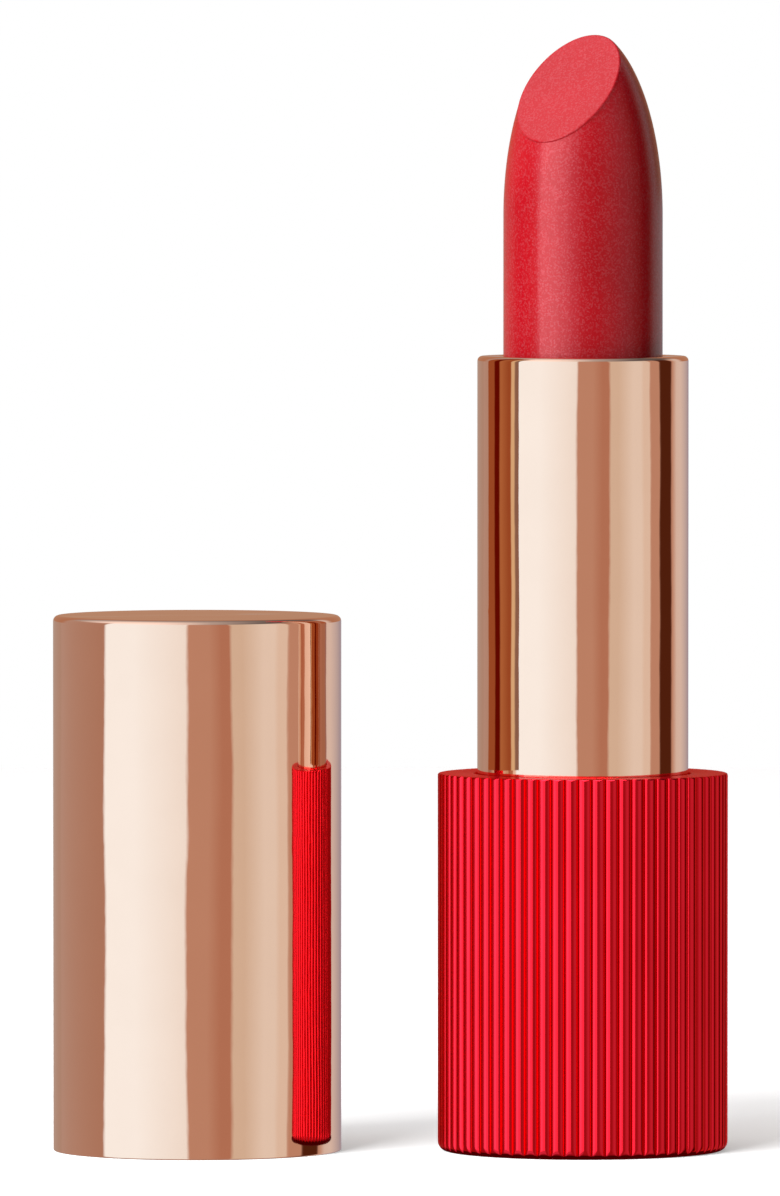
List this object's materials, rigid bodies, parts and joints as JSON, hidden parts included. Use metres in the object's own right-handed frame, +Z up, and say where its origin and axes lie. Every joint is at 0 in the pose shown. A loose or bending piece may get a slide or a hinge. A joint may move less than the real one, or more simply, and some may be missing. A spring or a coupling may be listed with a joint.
{
  "type": "lipstick case",
  "caption": "Round twist-up lipstick with a ribbed base, a polished tube, a slant-cut bullet wound up, and its smooth cap standing beside it.",
  "frame": {"origin": "middle of the base's foot, on the axis that the tube turns about and the bullet rises along", "axes": "+Z up along the tube and the bullet; -X towards the cap that stands beside the case; the slant cut faces -Y and a little -X"},
  "size_m": [0.0512, 0.022, 0.0848],
  "materials": {
    "red_anodised": "satin",
    "rose_gold": "polished",
    "wax": "satin",
    "white_acetal": "satin",
    "black_plastic": "satin",
    "steel": "satin",
    "silicone": "satin"
  },
  "bodies": {
    "case_base": {"base_sleeve": "red_anodised", "base_insert": "black_plastic", "base_weight": "steel", "foot_disc": "black_plastic", "guide_tube": "white_acetal", "drag_ring": "silicone", "snap_ring": "white_acetal"},
    "turning_tube": {"shell_tube": "rose_gold", "spiral_sleeve": "white_acetal"},
    "bullet_carrier": {"bullet_cup": "white_acetal", "bullet": "wax"},
    "cap": {"cap_shell": "rose_gold", "cap_liner": "black_plastic", "cap_weight": "steel"}
  },
  "joints": [
    {"name": "shell_turn", "type": "hinge", "parent": "case_base", "child": "turning_tube", "pos_m": [0, 0, 0], "axis": [0, 0, 1], "range_deg": [0, 450]},
    {"name": "bullet_rise", "type": "slide", "parent": "case_base", "child": "bullet_carrier", "axis": [0, 0, 1], "range_m": [-0.026, 0]},
    {"name": "cap_lift", "type": "slide", "parent": "case_base", "child": "cap", "axis": [0, 0, 1], "range_m": [0, 0.062]}
  ],
  "couplings": [
    {"joint": "shell_turn", "follows": "bullet_rise", "rad_per_m": -302.07}
  ]
}
